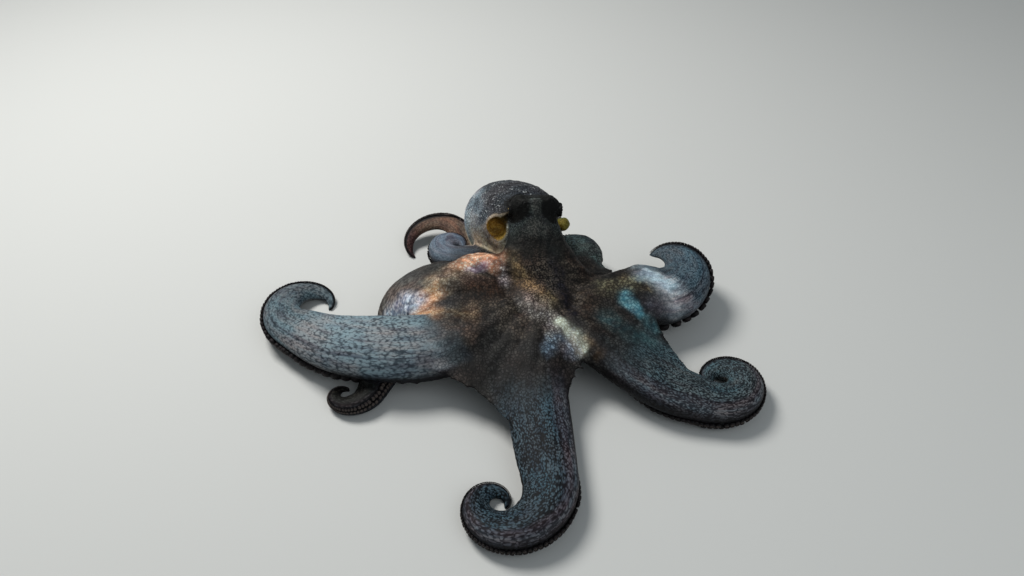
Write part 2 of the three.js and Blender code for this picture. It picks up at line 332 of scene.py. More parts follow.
def addWeb(bm, first, second):
    sheet = webSheets[first.name]
    skew, rise = sheet.get("skew", 1), sheet.get("rise", 0)
    steps = 60
    rails = [[arm.middle(far * i / steps) for i in range(steps + 1)]
             for arm, far in zip((first, second), sheet["reach"])]

    def rail(points, share):
        i = min(int(share * steps), steps - 1)
        return points[i].lerp(points[i + 1], share * steps - i)

    def place(t, angle):
        v = (1 + cos(angle)) / 2
        out = mix(0.06, 1, t) * (1 - sheet["notch"] * sin(pi * v ** skew) * t)
        middle = rail(rails[0], out).lerp(rail(rails[1], out), v)
        thick = mix(*webThickness, ramp(t))
        arch = 4 * v * (1 - v) * (rise - webSag * t)
        return middle + up * (sin(angle) * thick / 2 + arch)
    addTube(bm, 40, 40, place)


headShape = {
    "middles": [(0, 14, 40), (-1, 29, 50), (-2, 42, 62), (-4, 54, 76), (-6, 66, 91), (-6, 76, 118)],
    "sizes": [(96, 44), (104, 48), (86, 46), (60, 42), (50, 38), (42, 24)],
    "moundAt": (-6, 74, 104), "moundsApart": 27, "moundRadii": (14, 14, 15.5),
}
mounds = [Vector(headShape["moundAt"]) + Vector((side * headShape["moundsApart"] / 2, 0, 0))
          for side in eyeSides]
headMiddles = Curve(headShape["middles"])
headSizes = Curve([(w, d, 0) for w, d in headShape["sizes"]])


def addHead(bm):
    def place(t, angle):
        along = (headMiddles.raw(min(t + 0.01, 1)) - headMiddles.raw(max(t - 0.01, 0))).normalized()
        across = Vector((1, 0, 0))
        front = across.cross(along).normalized()
        size = headSizes.raw(t)
        return (headMiddles.raw(t) + across * (size.x / 2 * cos(angle))
                + front * (size.y / 2 * sin(angle)))
    addTube(bm, 48, 40, place)
    for at in mounds:
        addBall(bm, at, headShape["moundRadii"])


crownDome = [(24, 20), (28, 36), (38, 42), (48, 39), (57, 28), (62, 10)]  # height, radius


def addCrown(bm):
    dome = Curve([(radius, 0, height) for height, radius in crownDome])

    def place(t, angle):
        step = dome.raw(t)
        return Vector((mouth.x + step.x * cos(angle),
                       mouth.y + step.x * sin(angle), step.z))
    addTube(bm, 48, 20, place)


mantleShape = {
    "neck": Vector((-5, 75, 80)), "tip": Vector((-69, 171, 24)), "sag": 1.23,
    "girth": [(0, 33), (0.1, 41), (0.25, 44.5), (0.45, 45.5), (0.65, 42), (0.83, 30), (0.95, 15), (1, 5)],
}
# the mantle gapes on both sides of the head: a hollow, and a lip round it that is set back
openings = [
    dict(at=Vector((-46, 67, 84)), radii=(10, 11, 12), lip=2.5, back=8),
    dict(at=Vector((25, 80, 77)), radii=(6, 6, 6), lip=1.5, back=4),
]
mantleLength = (mantleShape["tip"] - mantleShape["neck"]).length
mantleAlong = (mantleShape["tip"] - mantleShape["neck"]).normalized()
mantleSide = mantleAlong.cross(up).normalized()
mantleRise = mantleSide.cross(mantleAlong)
mantleGirth = Curve([(share * mantleLength, radius, 0) for share, radius in mantleShape["girth"]])


def addMantle(bm):
    def place(t, angle):
        step = mantleGirth.at(t)
        low = mantleShape["sag"] if sin(angle) < 0 else 1
        radius = step.y * (1 - 0.25 * (1 - min(t / 0.05, 1)) ** 2)
        return (mantleShape["neck"] + mantleAlong * step.x + mantleSide * (radius * cos(angle))
                + mantleRise * (radius * low * sin(angle)))
    addTube(bm, 64, 48, place)
    for opening in openings:
        back = opening["at"] + Vector((0, opening["back"], 0))
        addBall(bm, back, [r + opening["lip"] for r in opening["radii"]])


funnelShape = {"base": (4, 72, 48), "end": (12, 98, 38), "radii": (11, 6), "bore": 3.6}


def addFunnel(bm):
    base, end = Vector(funnelShape["base"]), Vector(funnelShape["end"])
    along = (end - base).normalized()
    side = along.cross(up).normalized()
    rise = side.cross(along)

    def place(t, angle):  # up the outside, over the lip and back down the bore
        if t < 0.65:
            reach, radius = t / 0.65, mix(*funnelShape["radii"], ramp(t / 0.65 * 1.2))
        else:
            reach, radius = 1 - (t - 0.65) / 0.35 * 0.7, funnelShape["bore"]
        return mix(base, end, reach) + side * (radius * cos(angle)) + rise * (radius * sin(angle))
    addTube(bm, 24, 20, place)


def meshOf(bm, name):
    for f in bm.faces:
        f.smooth = True
    mesh = bpy.data.meshes.new(name)
    bm.to_mesh(mesh)
    bm.free()
    return mesh


def shown(mesh, name):
    obj = bpy.data.objects.new(name, mesh)
    scene.collection.objects.link(obj)
    return obj


def made(bm, name):
    return shown(meshOf(bm, name), name)


def applied(obj, modifiers):  # the mesh that obj has once the modifiers are applied; obj itself goes
    for kind, settings in modifiers:
        modifier = obj.modifiers.new(kind.title(), kind)
        for key, value in settings.items():
            setattr(modifier, key, value)
    graph = bpy.context.evaluated_depsgraph_get()
    mesh = bpy.data.meshes.new_from_object(obj.evaluated_get(graph))
    bpy.data.objects.remove(obj)
    return mesh


def addCups(bm):
    for opening in openings:
        addBall(bm, opening["at"], opening["radii"])


def drawSkin():
    remesh = [("REMESH", dict(mode="VOXEL", voxel_size=skinDraw["voxel"]))]
    bm = bmesh.new()
    addMantle(bm)
    mantle = shown(applied(made(bm, "mantleShell"), remesh), "mantleShell")
    bm = bmesh.new()
    addCups(bm)
    cups = made(bm, "cups")
    hollowed = applied(mantle, [("BOOLEAN", dict(operation="DIFFERENCE", object=cups, solver="FAST"))])
    bpy.data.objects.remove(cups)
    bm = bmesh.new()
    bm.from_mesh(hollowed)
    for arm in arms:
        addArm(bm, arm)
    for i, arm in enumerate(arms):
        addWeb(bm, arm, arms[(i + 1) % len(arms)])
    addHead(bm)
    addCrown(bm)
    addFunnel(bm)
    return applied(made(bm, "shells"), remesh)


skinMesh = drawSkin()
print("skin drawn:", len(skinMesh.vertices), "vertices", len(skinMesh.polygons), "faces")


class Place:  # the nearest arm section to a point, and the point's place in it
    def __init__(self, arm, section, point):
        self.arm = arm
        self.along = section.distance + (point - section.middle).dot(section.heading)
        self.share = self.along / arm.length
        self.out, self.rise = section.local(point)
        self.across = self.out / section.half
        high = self.rise / section.thick
        self.fromMiddle = hypot(self.across, high)
        turn = atan2(high, self.across)
        skin = hypot(cos(turn), (1 + armShape["egg"] * cos(turn)) * sin(turn))
        self.outside = (self.fromMiddle - skin) * section.thick  # mm out of the arm's own skin
        self.fromSuckers = wrapped(turn - section.suckers)


for arm in arms:
    steps = round(arm.length / 2)
    arm.sections = []
    arm.tree = kdtree.KDTree(steps + 1)
    for i in range(steps + 1):
        section = Section(arm, arm.length * i / steps)
        section.distance = arm.length * i / steps
        section.middle = section.place(0, 0)
        arm.sections.append(section)
        arm.tree.insert(section.middle, i)
    arm.tree.balance()


def placeOf(point):
    found = None
    for arm in arms:
        middle, index, distance = arm.tree.find(point)
        if distance > 75:
            continue
        place = Place(arm, arm.sections[index], point)
        if found is None or place.fromMiddle < found.fromMiddle:
            found = place
    return found


def drawn(co):  # a skin point in drawing millimetres
    return (co - drawingOrigin) / mm


mantleSteps = [mantleGirth.at(t) for t in shares(60)[:-1]]
headSteps = [(headMiddles.raw(t), headSizes.raw(t), t) for t in shares(40)]


def outOfMantle(point):  # mm out of the mantle's own skin
    away = point - mantleShape["neck"]
    along = min(max(away.dot(mantleAlong), 0), mantleLength)
    step = min(mantleSteps, key=lambda step: abs(step.x - along))
    side, rise = away.dot(mantleSide), away.dot(mantleRise)
    if rise < 0:
        rise /= mantleShape["sag"]
    beyond = abs(away.dot(mantleAlong) - along)
    return hypot(side, rise, beyond) - step.y


def outOfHead(point):  # mm out of the head's own skin, and how far up the head
    middle, size, t = min(headSteps, key=lambda step: hypot(point.y - step[0].y, point.z - step[0].z))
    away = point - middle
    across, front = away.x / (size.x / 2), hypot(away.y, away.z) / (size.y / 2)
    return (hypot(across, front) - 1) * min(size.x, size.y) / 2, t


def outOfBall(point, at, radii):  # mm out of an oval ball, or less than 0 in it
    return (Vector([a / r for a, r in zip(point - at, radii)]).length - 1) * min(radii)


def outOfMounds(point):
    return min(outOfBall(point, at, headShape["moundRadii"]) for at in mounds)


def outOfCups(point):
    return min(outOfBall(point, opening["at"], opening["radii"]) for opening in openings)


def freeness(place):  # 0 in the crown and the web, 1 on the free length of an arm
    if place is None:
        return 0.0
    return ramp(place.along, 55, 125) * (1 - ramp(place.fromMiddle, 1.1, 1.5))


# how the skin is smoothed, lidded round the eyes and wrinkled
skinForm = {
    "crownPasses": 24, "armPasses": 4, "mantlePasses": 8,
    "eyeReach": 19, "opening": 27, "behindLid": 7.4, "lid": 11.2, "lidFoot": 10.2,  # round an eye
    "wrinkle": 0.45, "wrinkleSize": 7, "papilla": 0.7, "fold": 3.2,
}


def smoothness(co):  # how many smoothing passes a point gets
    point = drawn(co)
    place = placeOf(point)
    passes = mix(skinForm["crownPasses"], skinForm["armPasses"], freeness(place))
    return mix(passes, skinForm["mantlePasses"], max(ramp(point.z, 66, 84), ramp(point.y, 60, 90)))


def smoothSkin(bm):
    wanted = [(v, smoothness(v.co)) for v in bm.verts]
    done = 0
    for level in (4, 8, 12, 18, 24):
        verts = [v for v, passes in wanted if passes >= level - 0.5]
        for i in range(level - done):
            bmesh.ops.smooth_vert(bm, verts=verts, factor=0.5,
                                  use_axis_x=True, use_axis_y=True, use_axis_z=True)
        done = level


def shapeLids(bm):
    for side in eyeSides:
        middle = eyeMiddle(side)
        reach = skinForm["eyeReach"] * mm
        near = [v for v in bm.verts if (v.co - middle).length < reach]
        edges = list({e for v in near for e in v.link_edges})
        bmesh.ops.subdivide_edges(bm, edges=edges, cuts=1, use_grid_fill=True)
        for v in bm.verts:
            away = (v.co - middle) / mm
            distance = away.length
            if distance > skinForm["eyeReach"]:
                continue
            turn = degrees(acos(max(min(away.x * side / distance, 1), -1)))
            flat = abs(away.y) / max(hypot(away.y, away.z), 1e-6)
            turn *= mix(1.12, 0.92, flat)  # the opening is longer than it is high
            past = turn - skinForm["opening"]
            goal = mix(skinForm["behindLid"], skinForm["lid"], ramp(past, 0, 6))
            goal = mix(goal, skinForm["lidFoot"], ramp(past, 12, 30))
            hold = 1 - ramp(past, 14, 42)
            v.co = middle + away.normalized() * (mix(distance, goal, hold) * mm)


def fanFold(point):  # soft folds that run out from the mouth over the crown
    reach, turn = fan(point)
    fold = noise((turn * 5, reach / 60, point.z / 50))
    fold += 0.5 * noise((turn * 11, reach / 40, point.z / 40))
    return fold * ramp(reach, 8, 40) * (1 - ramp(reach, 90, 150))


def wrinkleSkin(bm):
    bm.normal_update()
    moves = []
    for v in bm.verts:
        point = drawn(v.co)
        place = placeOf(point)
        free = freeness(place)
        body = fractal(point / skinForm["wrinkleSize"], 1.0, 2.0, 3)
        body += skinForm["fold"] * fanFold(point)
        warts = ramp(noise(point / 4.2), 0.28, 0.62)
        high = body * skinForm["wrinkle"] + warts * skinForm["papilla"] * 0.5
        if free > 0:
            stretched = Vector((place.along / 3, place.out, place.rise)) / 4
            high = mix(high, noise(stretched) * skinForm["wrinkle"] * 0.5, free)
        moves.append((v, high))
    for v, high in moves:
        v.co += v.normal * (high * mm)
        v.co.z = max(v.co.z, 0.1 * mm)


def thinned(mesh):
    triangles = sum(len(p.vertices) - 2 for p in mesh.polygons)
    if triangles <= skinDraw["trianglesMost"]:
        return mesh
    return applied(shown(mesh, "fullSkin"), [("DECIMATE", dict(ratio=skinDraw["trianglesMost"] / triangles))])


def finishSkin(mesh):
    bm = bmesh.new()
    bm.from_mesh(mesh)
    smoothSkin(bm)
    mesh = thinned(meshOf(bm, "smoothSkin"))
    bm = bmesh.new()
    bm.from_mesh(mesh)
    shapeLids(bm)
    wrinkleSkin(bm)
    bmesh.ops.triangulate(bm, faces=bm.faces[:])
    return meshOf(bm, "skin")


skin = shown(finishSkin(skinMesh), "skin")
print("skin finished:", len(skin.data.polygons), "triangles")


def paint(red, green, blue):  # a paint as given, made linear
    return Vector([(c / 255) ** 2.2 for c in (red, green, blue)])


def tone(ground, fleck, cover=0.5):  # a dark ground, its pale flecks, and how much of it they cover
    return paint(*ground), paint(*fleck), cover


paints = {name: tone(*look) for name, look in {
    "arm": ((11, 19, 24), (76, 94, 103)),
    "armEdge": ((46, 38, 43), (106, 95, 100)),
    # painted shade for the arms' outer edges, the bands round their suckers and their undersides
    "armRimShade": ((10, 10, 13), (30, 30, 36)),
    "armUnderShade": ((24, 26, 30), (58, 60, 64)),
    "pale": ((67, 76, 82), (135, 147, 151), 0.72),
    "paleEnd": ((60, 70, 75), (110, 122, 126), 0.68),
    "hump": ((62, 56, 53), (110, 102, 95), 0.55),
    "dome": ((44, 58, 67), (92, 110, 119), 0.6),
    "lavender": ((106, 112, 122), (128, 136, 148), 0.6),
    "slate": ((30, 38, 42), (96, 115, 119), 0.5),
    "brown": ((84, 67, 56), (114, 94, 80), 0.55),
    "dark": ((18, 19, 18), (48, 50, 47), 0.4),
    "plum": ((46, 28, 28), (86, 62, 60)),
    "crown": ((17, 13, 11), (88, 75, 65)),
    "web": ((13, 11, 11), (58, 54, 51), 0.5),
    "neck": ((46, 50, 48), (82, 87, 83), 0.5),
    "mound": ((6, 7, 6), (17, 19, 16), 0.3),
    "mantle": ((28, 29, 32), (74, 76, 80), 0.56),
    "mantlePale": ((106, 111, 117), (178, 187, 194), 0.62),
    # pale, and painted brighter still as if lit
    "mantleLowLit": ((204, 182, 146), (238, 220, 190), 0.5),
    "lip": ((150, 136, 112), (178, 166, 142), 0.6),
    # the openings' gold and olive: painted glow of light through the thin mantle wall
    "cup": ((158, 120, 46), (186, 150, 74)),
    "cupShade": ((64, 48, 18), (92, 72, 30)),
    "rightCupGlow": ((90, 87, 30), (126, 123, 56)),
}.items()}
armTints = {  # what each arm leans to, how much, the same at its curled end, and its mauve band
    # the second right arm's pale tint is partly its own colour, partly painted light
    "right1": ("arm", 0, "arm", 0, 0.6), "right2": ("pale", 1, "paleEnd", 1, 0.15),
    "right3": ("hump", 1, "dark", 1, 0.3), "right4": ("lavender", 0.8, "lavender", 1, 0.2),
    "left4": ("brown", 1, "brown", 1, 0.6), "left3": ("slate", 0.8, "slate", 0.8, 0.4),
    "left2": ("dome", 0.7, "dome", 1, 0.2), "left1": ("slate", 0.8, "slate", 0.8, 0.5),
}


def patch(path, width, soft, strength, *look):  # half width and softness of its edge in mm, then a tone
    path = [Vector(p) for p in path]
    middle = sum(path, Vector()) / len(path)
    reach = max((p - middle).length for p in path) + width + soft + 8
    return dict(path=path, middle=middle, reach=reach, width=width, soft=soft, strength=strength,
                look=tone(*look))


# colour that lies along paths on the body, in drawing millimetres
patches = [
    # the orange shoulder, a painted pool of sunlight with cream spots, and a touch of violet
    patch([(-46, 34, 66), (-63, 40, 67), (-79, 32, 66)], 13, 12, 0.95, (226, 146, 102), (255, 232, 204)),
    patch([(-60, 26, 66), (-74, 22, 64)], 6, 7, 0.7, (140, 110, 140), (222, 196, 206)),
    patch([(-90, 14, 64), (-110, 4, 58)], 16, 14, 0.9, (104, 82, 62), (196, 174, 148), 0.6),
    # painted highlights, orange and blue-white, on the hump of the third right arm
    patch([(-108, -4, 58), (-118, -8, 54), (-120, -20, 50), (-106, -28, 54)], 10, 9, 0.95,
          (184, 124, 78), (246, 214, 178), 0.6),
    patch([(-128, -10, 50), (-140, -10, 49), (-150, -14, 44)], 12, 10, 1,
          (148, 162, 182), (236, 246, 255), 0.6),
    # the brown and dark left of the crown
    patch([(-70, 6, 60), (-50, -2, 56), (-36, 10, 58)], 13, 16, 0.9, (20, 14, 11), (70, 49, 36)),
    patch([(-100, -28, 56), (-72, -34, 56)], 12, 12, 0.8, (70, 50, 34), (164, 138, 110)),
    patch([(-90, -44, 55), (-76, -56, 53)], 13, 14, 0.7, (48, 38, 31), (124, 105, 90)),
    patch([(-86, 14, 64), (-60, 13, 62)], 8, 9, 0.7, (64, 48, 40), (160, 132, 114)),
    patch([(-42, 24, 66), (-38, 14, 60)], 6, 8, 0.7, (58, 50, 50), (206, 196, 194)),
    # the golden band that turns cream at the web's notch
    patch([(-32, 32, 76), (-21, 14, 66), (-7, -5, 61), (6, -20, 58)], 9, 9, 0.9,
          (72, 56, 38), (156, 130, 92)),
    patch([(-14, -16, 60), (2, -32, 57), (12, -48, 54), (20, -62, 49)], 12, 13, 0.8,
          (60, 50, 47), (208, 190, 178)),
    patch([(20, -44, 53), (27, -53, 50), (33, -61, 47), (37, -69, 44)], 7, 9, 1,
          (192, 180, 152), (255, 252, 230), 0.95),
    patch([(40, -62, 48), (56, -78, 46)], 5, 7, 0.7, (84, 60, 38), (170, 138, 104)),
    patch([(4, -74, 49), (16, -61, 48), (27, -71, 44)], 9, 10, 0.7, (52, 62, 74), (150, 166, 182)),
    # the dark violet stripe from the head to the web
    patch([(7, 40, 90), (12, 23, 75), (19, 4, 60), (26, -17, 53), (33, -44, 54)], 8, 8, 1,
          (10, 9, 13), (34, 31, 40)),
    # the brown right of the crown
    patch([(43, -8, 58), (48, -26, 54), (53, -48, 54)], 10, 12, 0.7, (28, 20, 16), (84, 65, 53)),
    # the third left arm, behind the head
    patch([(36, 104, 38), (52, 82, 40), (68, 70, 36)], 18, 8, 0.9, (34, 42, 42), (92, 106, 102)),
    # the dark and olive root of the second left arm
    patch([(36, 40, 69), (46, 28, 60), (60, 0, 59)], 12, 12, 0.85, (18, 14, 12), (62, 50, 42)),
    patch([(66, 4, 60), (88, 10, 61), (104, 2, 59)], 12, 12, 0.85, (40, 34, 26), (130, 122, 94)),
    # turquoise on the web between the first two left arms
    patch([(84, -10, 56), (97, -26, 48), (110, -38, 43)], 8, 10, 0.5, (48, 84, 92), (104, 150, 156), 0.6),
    patch([(86, -12, 55), (95, -23, 50)], 6, 5, 1, (52, 104, 118), (122, 172, 180), 0.55),
    patch([(62, -34, 52), (84, -50, 48), (104, -58, 46)], 12, 14, 0.6, (36, 60, 64), (84, 112, 112)),
    # a silver highlight painted on the dome of the second left arm
    patch([(108, 24, 60), (124, 12, 57), (134, 0, 54), (138, -10, 48)], 14, 17, 1,
          (172, 187, 195), (240, 248, 250), 0.65),
    # its lower side, painted lighter as if lit
    patch([(148, -4, 42), (156, -4, 34)], 10, 9, 0.9, (104, 100, 108), (172, 168, 172), 0.6),
    patch([(110, -14, 52), (134, -22, 46)], 8, 12, 0.8, (72, 70, 78), (140, 138, 144)),
]


def fromPath(point, path):
    nearest = 1e9
    for a, b in zip(path, path[1:]):
        span = b - a
        t = min(max((point - a).dot(span) / span.length_squared, 0), 1)
        nearest = min(nearest, (point - a - span * t).length)
    return nearest


def blend(one, other, share):
    return [mix(a, b, share) for a, b in zip(one, other)]


def armLook(place, shift):
    tint, share, endTint, endShare, edgeShare = armTints[place.arm.name]
    start, end = blend(paints["arm"], paints[tint], share), blend(paints["arm"], paints[endTint], endShare)
    look = blend(start, end, ramp(place.share, 0.5, 0.72))
    look = blend(look, paints["armEdge"], edgeShare * ramp(place.across + shift * 0.01, 0.3, 0.5))
    look = blend(look, paints["pale"], 0.35 * bump(place.across + shift * 0.004 - 0.76, 0.08))
    if place.arm.name == "left4":
        look = blend(look, paints["plum"], ramp(place.across, 0.4, 0.9) + ramp(place.share, 0.8, 0.92))
    else:
        # painted shade: the arm's outer edge is painted near black
        look = blend(look, paints["armRimShade"], ramp(place.across, 0.82, 0.98))
    # painted shade: the underside of the arm is painted darker
    look = blend(look, paints["armUnderShade"], 1 - ramp(place.rise, -6, 1))
    # painted shade: the band round the suckers is painted near black
    return blend(look, paints["armRimShade"], 1 - ramp(abs(place.fromSuckers), 0.35, 0.75))


def markings(point, place):
    shift = noise(point / 16) * 9 + noise(point / 6) * 3
    reach, turn = fan(point)
    look = blend(paints["crown"], paints["web"], ramp(reach + shift * 2, 40, 90))
    streak = noise((turn * 7, reach / 45, 3))
    streak += 0.6 * noise((turn * 17, reach / 30, 7))
    look = [look[0] * (1 + 0.9 * streak), look[1] * (1 + 0.9 * streak), look[2]]
    mantleOut = outOfMantle(point)
    headOut, headShare = outOfHead(point)
    armOut = abs(place.outside) if place is not None else 50
    if place is not None:
        onArm = ramp(place.along + shift * 1.4, 55, 115) * (1 - ramp(place.outside, 3, 9))
        look = blend(look, armLook(place, shift), onArm)
    for area in patches:
        if (point - area["middle"]).length < area["reach"]:
            far = fromPath(point, area["path"]) + shift * 0.6
            share = 1 - ramp(far, area["width"] - area["soft"], area["width"] + area["soft"] / 2)
            broken = mix(0.5, 1.2, ramp(noise(point / 5) + streak * 0.5, -0.4, 0.4))
            look = blend(look, area["look"], min(share * area["strength"] * broken, 1))
    onHead = (1 - ramp(headOut, 2, 6)) * ramp(headShare + shift * 0.008, 0.3, 0.55)
    neck = blend(paints["dark"], paints["neck"], ramp(headShare + shift * 0.01, 0.55, 0.85))
    look = blend(look, neck, onHead * 0.85)
    mantle = blend(paints["mantlePale"], paints["mantle"], ramp(point.x + shift * 1.5, -90, -50))
    # the mantle's low part is pale, and painted brighter still as if lit
    low = (1 - ramp(point.z + shift * 1.6, 44, 80)) * ramp(point.x + shift * 0.5, -84, -66)
    mantle = blend(mantle, paints["mantleLowLit"], max(low, 1 - ramp(point.z, 20, 44)))
    nearer = min(abs(headOut) if headShare > 0.2 else 50, armOut)
    onMantle = ramp(nearer - abs(mantleOut), -2.5, 2.5) if mantleOut < 12 and point.y > 55 else 0
    look = blend(look, mantle, onMantle)
    look = blend(look, paints["mound"], (1 - ramp(outOfMounds(point), 3, 5.5)) * ramp(point.z, 84, 94))
    cup = outOfCups(point)
    onRight = ramp(point.x, -6, 10)
    look = blend(look, paints["lip"], (1 - ramp(cup, 2.4, 4)) * 0.7 * ramp(outOfMounds(point), 3, 6))
    # in and round the openings, gold and olive are painted glow of light through the thin mantle wall
    look = blend(look, paints["rightCupGlow"], (1 - ramp(cup, 3, 5)) * onRight)
    # painted shade darkens the upper inside of the left opening
    shadeInCup = ramp((point - openings[0]["at"]).dot(Vector((0.6, 0, 0.8))), -4, 8) * (1 - onRight)
    cupGlowAndShade = blend(blend(paints["cup"], paints["cupShade"], shadeInCup), paints["rightCupGlow"], onRight * 0.7)
    return blend(look, cupGlowAndShade, 1 - ramp(cup, 0.8, 1.6))


def paintSkin(mesh):
    ground, fleck, cover, armSpace, crownSpace, onArm, onCrown, edge = ([] for i in range(8))
    for v in mesh.vertices:
        point = drawn(v.co)
        place = placeOf(point)
        look = markings(point, place)
        ground += [*look[0], 1]
        fleck += [*look[1], 1]
        cover.append(look[2])
        reach, turn = fan(point)
        crownSpace += [reach * mm, turn * 0.06, point.z * mm * 0.6]
        if place is None:
            armSpace += list(v.co)
            edge.append(0.0)
        else:
            size = place.arm.grain / mm
            armSpace += [place.along / size + place.arm.order, place.out / size, place.rise / size]
            edge.append(place.across)
        onArm.append(freeness(place))
        onCrown.append((1 - ramp(point.z, 76, 94)) * (1 - ramp(point.y, 45, 60)) * ramp(reach, 15, 35))
    for name, kind, key, values in (
            ("ground", "FLOAT_COLOR", "color", ground), ("fleck", "FLOAT_COLOR", "color", fleck),
            ("armSpace", "FLOAT_VECTOR", "vector", armSpace),
            ("crownSpace", "FLOAT_VECTOR", "vector", crownSpace),
            ("onArm", "FLOAT", "value", onArm), ("onCrown", "FLOAT", "value", onCrown),
            ("edge", "FLOAT", "value", edge), ("cover", "FLOAT", "value", cover)):
        layer = mesh.attributes.new(name, kind, "POINT")
        layer.data.foreach_set(key, values)


paintSkin(skin.data)
print("skin painted")


suckerShape = {
    # radius and height of each ring, as shares of the sucker's width, and how hollow it is there
    "rings": [(0.44, -0.16, 0), (0.52, 0.06, 0), (0.48, 0.24, 0.1), (0.37, 0.36, 0.5), (0.26, 0.33, 0.9),
              (0.14, 0.18, 1.0)],
    "sides": 10, "pitch": 0.64, "rowsApart": 0.62, "height": 0.14, "pale": {"right3": 1.0},
}


def suckerMesh():
    bm = bmesh.new()
    hollow = bm.verts.layers.float.new("hollow")
    bm.verts.layers.float.new("pale")
    previous = None
    for radius, height, depth in suckerShape["rings"]:
        v = bm.verts.new((radius, 0, height))
        v[hollow] = depth
        if previous:
            bm.edges.new((previous, v))
        previous = v
    bmesh.ops.spin(bm, geom=bm.verts[:] + bm.edges[:], cent=(0, 0, 0), axis=(0, 0, 1),
                   angle=tau, steps=suckerShape["sides"], use_merge=True)
    rims = [e for e in bm.edges if e.is_boundary]
    bmesh.ops.holes_fill(bm, edges=rims, sides=0)
    bmesh.ops.recalc_face_normals(bm, faces=bm.faces[:])
    return meshOf(bm, "sucker")


oneSucker = suckerMesh()


def addSucker(bm, section, row, size, index, paleness):
    half = suckerShape["rowsApart"] * size
    angle = section.suckers
    out, rise = section.outline(angle)
    radius = max(hypot(out, rise), 1)
    angle += row * atan2(half, radius)
    wobble = 1 + 0.05 * sin(index * 2.3)
    a, b, c = (section.skin(angle + d) for d in (-0.04, 0, 0.04))
    tangent = (c - a).normalized()
    normal = tangent.cross(section.heading).normalized()
    if normal.dot(b - section.middle) < 0:
        normal = -normal
    turn = Matrix((tangent, normal.cross(tangent), normal)).transposed().to_4x4()
    size *= wobble
    at = b + normal * (size * suckerShape["height"])
    turn = Matrix.Translation(at * mm + drawingOrigin) @ turn @ Matrix.Scale(size * mm, 4)
    first = len(bm.verts)
    bm.from_mesh(oneSucker)
    bm.verts.ensure_lookup_table()
    verts = bm.verts[first:]
    bmesh.ops.transform(bm, matrix=turn, verts=verts)
    pale = bm.verts.layers.float.get("pale")
    for v in verts:
        v.co.z = max(v.co.z, 0.2 * mm)
        v[pale] = paleness


def growSuckers(arm):
    bm = bmesh.new()
    distance, index = 12.0, 0
    while distance < arm.length - 1.5:
        size = arm.suckerSize(distance)
        section = Section(arm, distance)
        section.middle = section.place(0, 0)
        addSucker(bm, section, 1 if index % 2 else -1, size, index, suckerShape["pale"].get(arm.name, 0.0))
        distance += size * suckerShape["pitch"] / 2
        index += 1
    print("suckers on", arm.name, index)
    return made(bm, f"suckers_{arm.name}")


suckers = [growSuckers(arm) for arm in arms]


eyeShape = {"radius": 8.8, "cornea": 0.3}  # mm, and how far the cornea stands out


def makeEye(side):
    name = f"eyeball_{eyeSides[side]}"
    bm = bmesh.new()
    bmesh.ops.create_uvsphere(bm, u_segments=48, v_segments=24, radius=1)
    bmesh.ops.rotate(bm, verts=bm.verts[:], cent=(0, 0, 0), matrix=Matrix.Rotation(pi / 2, 3, "Y"))
    for v in bm.verts:
        swell = eyeShape["radius"] + eyeShape["cornea"] * ramp(v.co.x * side, 0.6, 1)
        v.co = eyeMiddle(side) + v.co * (swell * mm)
    return made(bm, name)


eyes = {side: makeEye(side) for side in eyeSides}
print("eyes made")


class Value:  # a shader value, so that sums on it read as sums
    def __init__(self, book, socket):
        self.book, self.socket = book, socket

    def maths(self, operation, *others):
        return self.book.node("ShaderNodeMath", {"operation": operation}, dict(enumerate((self, *others))))

    def __add__(self, other):
        return self.maths("ADD", other)

    def __sub__(self, other):
        return self.maths("SUBTRACT", other)

    def __mul__(self, other):
        return self.maths("MULTIPLY", other)

    def __truediv__(self, other):
        return self.maths("DIVIDE", other)

    def __rsub__(self, other):
        return self.book.node("ShaderNodeMath", {"operation": "SUBTRACT"}, {0: other, 1: self})

    __radd__ = __add__
    __rmul__ = __mul__

    def step(self, low, high):  # 0 below low, 1 above high, eased between
        return self.book.node("ShaderNodeMapRange", {"interpolation_type": "SMOOTHSTEP"},
                              {"Value": self, "From Min": low, "From Max": high})


